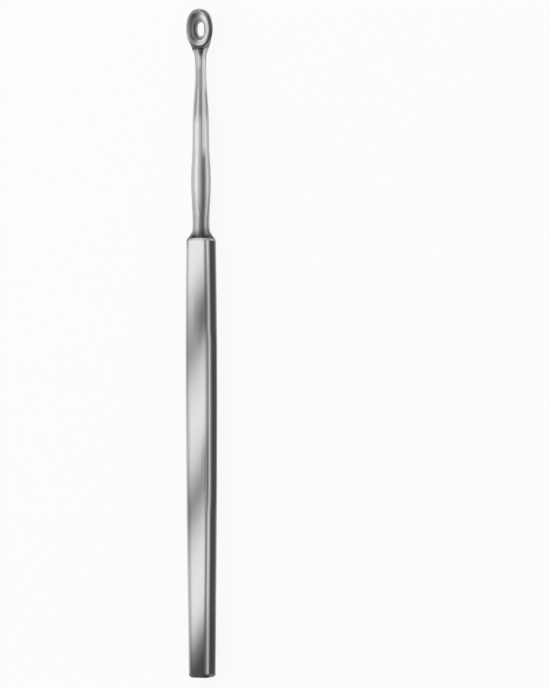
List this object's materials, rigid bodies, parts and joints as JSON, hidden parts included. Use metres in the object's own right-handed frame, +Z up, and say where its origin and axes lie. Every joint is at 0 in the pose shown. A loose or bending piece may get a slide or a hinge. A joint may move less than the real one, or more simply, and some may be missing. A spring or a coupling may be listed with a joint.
{
  "type": "dermal curette",
  "caption": "One-piece steel hand instrument for scraping skin: an oval dished ring with a hole, on a slim turned neck and a flat tapering handle with bevelled edges.",
  "frame": {"origin": "middle of the overall length and width, at the height of the flat back of the handle that the instrument lies on", "axes": "+Y along the instrument towards the ring head, +Z up out of the dished face, +X to the right when looking down with the head away from the viewer"},
  "size_m": [0.0062, 0.145, 0.0049],
  "materials": {
    "steel": "satin stainless steel, finely polished along its length"
  },
  "bodies": {
    "root": {"curette": "steel"}
  },
  "joints": []
}
